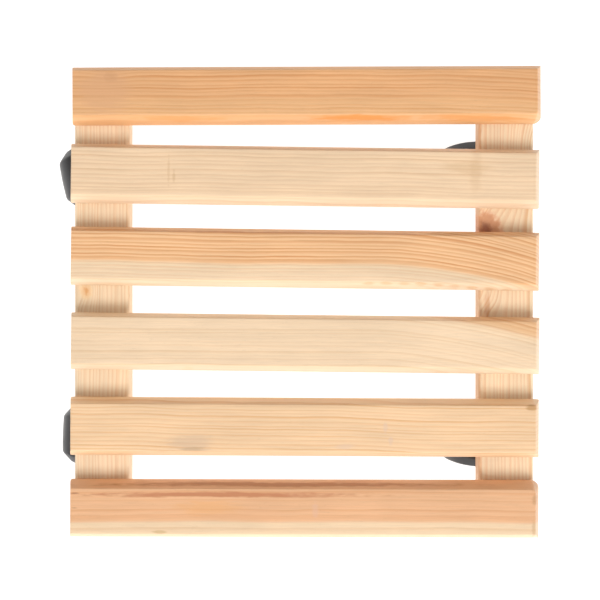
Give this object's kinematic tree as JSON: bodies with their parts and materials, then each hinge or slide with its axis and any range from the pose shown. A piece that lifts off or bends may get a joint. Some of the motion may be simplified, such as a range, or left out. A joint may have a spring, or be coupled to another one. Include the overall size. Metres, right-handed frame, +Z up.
{
  "type": "plant pot caddy",
  "caption": "Square slatted softwood plant pot caddy on two bearers, carried by hooded twin-wheel swivel castors, for rolling a heavy pot.",
  "frame": {"origin": "centre of the footprint box at floor level, castors in the stored pose; the deck's own centre is at x = +10.7 mm because the castors trail towards -X", "axes": "+Z up, slats run along X, bearers along Y"},
  "size_m": [0.3778, 0.3576, 0.0916],
  "materials": {
    "pine": "planed and lightly oiled softwood, satin",
    "pine_bearer": "planed softwood, satin",
    "screw": "yellow-passivated zinc plated",
    "plate_steel": "bright zinc plated pressed steel",
    "pin_steel": "turned steel",
    "hood_plastic": "dark slate grey moulded nylon, satin",
    "wheel_plastic": "near-black moulded nylon, satin"
  },
  "bodies": {
    "deck": {"slat_1": "pine", "slat_2": "pine", "slat_3": "pine", "slat_4": "pine", "slat_5": "pine", "slat_6": "pine", "bearer_left": "pine_bearer", "bearer_right": "pine_bearer", "slat_screw_1_left": "screw", "slat_screw_1_right": "screw", "slat_screw_2_left": "screw", "slat_screw_2_right": "screw", "slat_screw_3_left": "screw", "slat_screw_3_right": "screw", "slat_screw_4_left": "screw", "slat_screw_4_right": "screw", "slat_screw_5_left": "screw", "slat_screw_5_right": "screw", "slat_screw_6_left": "screw", "slat_screw_6_right": "screw", "castor_plate_rear_left": "plate_steel", "castor_plate_rear_right": "plate_steel", "castor_plate_front_left": "plate_steel", "castor_plate_front_right": "plate_steel", "kingpin_rear_left": "pin_steel", "kingpin_rear_right": "pin_steel", "kingpin_front_left": "pin_steel", "kingpin_front_right": "pin_steel", "plate_screw_rear_left_1": "screw", "plate_screw_rear_left_2": "screw", "plate_screw_rear_left_3": "screw", "plate_screw_rear_left_4": "screw", "plate_screw_rear_right_1": "screw", "plate_screw_rear_right_2": "screw", "plate_screw_rear_right_3": "screw", "plate_screw_rear_right_4": "screw", "plate_screw_front_left_1": "screw", "plate_screw_front_left_2": "screw", "plate_screw_front_left_3": "screw", "plate_screw_front_left_4": "screw", "plate_screw_front_right_1": "screw", "plate_screw_front_right_2": "screw", "plate_screw_front_right_3": "screw", "plate_screw_front_right_4": "screw"},
    "castor_rear_left": {"castor_hood_rear_left": "hood_plastic", "axle_rear_left": "pin_steel"},
    "wheel_rear_left_a": {"wheel_rear_left_a": "wheel_plastic"},
    "wheel_rear_left_b": {"wheel_rear_left_b": "wheel_plastic"},
    "castor_rear_right": {"castor_hood_rear_right": "hood_plastic", "axle_rear_right": "pin_steel"},
    "wheel_rear_right_a": {"wheel_rear_right_a": "wheel_plastic"},
    "wheel_rear_right_b": {"wheel_rear_right_b": "wheel_plastic"},
    "castor_front_left": {"castor_hood_front_left": "hood_plastic", "axle_front_left": "pin_steel"},
    "wheel_front_left_a": {"wheel_front_left_a": "wheel_plastic"},
    "wheel_front_left_b": {"wheel_front_left_b": "wheel_plastic"},
    "castor_front_right": {"castor_hood_front_right": "hood_plastic", "axle_front_right": "pin_steel"},
    "wheel_front_right_a": {"wheel_front_right_a": "wheel_plastic"},
    "wheel_front_right_b": {"wheel_front_right_b": "wheel_plastic"}
  },
  "joints": [
    {"name": "swivel_rear_left", "type": "hinge", "parent": "deck", "child": "castor_rear_left", "pos_m": [-0.1438, 0.10567, 0.0525], "axis": [0, 0, 1], "continuous": true},
    {"name": "swivel_rear_right", "type": "hinge", "parent": "deck", "child": "castor_rear_right", "pos_m": [0.1613, 0.10567, 0.0525], "axis": [0, 0, 1], "continuous": true},
    {"name": "swivel_front_left", "type": "hinge", "parent": "deck", "child": "castor_front_left", "pos_m": [-0.1427, -0.10753, 0.0525], "axis": [0, 0, 1], "continuous": true},
    {"name": "swivel_front_right", "type": "hinge", "parent": "deck", "child": "castor_front_right", "pos_m": [0.1619, -0.10993, 0.0525], "axis": [0, 0, 1], "continuous": true},
    {"name": "roll_rear_left_a", "type": "hinge", "parent": "castor_rear_left", "child": "wheel_rear_left_a", "pos_m": [-0.16141, 0.10193, 0.023], "axis": [0.2079, -0.9781, 0], "continuous": true},
    {"name": "roll_rear_left_b", "type": "hinge", "parent": "castor_rear_left", "child": "wheel_rear_left_b", "pos_m": [-0.16141, 0.10193, 0.023], "axis": [0.2079, -0.9781, 0], "continuous": true},
    {"name": "roll_rear_right_a", "type": "hinge", "parent": "castor_rear_right", "child": "wheel_rear_right_a", "pos_m": [0.14338, 0.10395, 0.023], "axis": [0.0958, -0.9954, 0], "continuous": true},
    {"name": "roll_rear_right_b", "type": "hinge", "parent": "castor_rear_right", "child": "wheel_rear_right_b", "pos_m": [0.14338, 0.10395, 0.023], "axis": [0.0958, -0.9954, 0], "continuous": true},
    {"name": "roll_front_left_a", "type": "hinge", "parent": "castor_front_left", "child": "wheel_front_left_a", "pos_m": [-0.16069, -0.1069, 0.023], "axis": [-0.0349, -0.9994, 0], "continuous": true},
    {"name": "roll_front_left_b", "type": "hinge", "parent": "castor_front_left", "child": "wheel_front_left_b", "pos_m": [-0.16069, -0.1069, 0.023], "axis": [-0.0349, -0.9994, 0], "continuous": true},
    {"name": "roll_front_right_a", "type": "hinge", "parent": "castor_front_right", "child": "wheel_front_right_a", "pos_m": [0.1441, -0.10727, 0.023], "axis": [-0.1478, -0.989, 0], "continuous": true},
    {"name": "roll_front_right_b", "type": "hinge", "parent": "castor_front_right", "child": "wheel_front_right_b", "pos_m": [0.1441, -0.10727, 0.023], "axis": [-0.1478, -0.989, 0], "continuous": true}
  ]
}
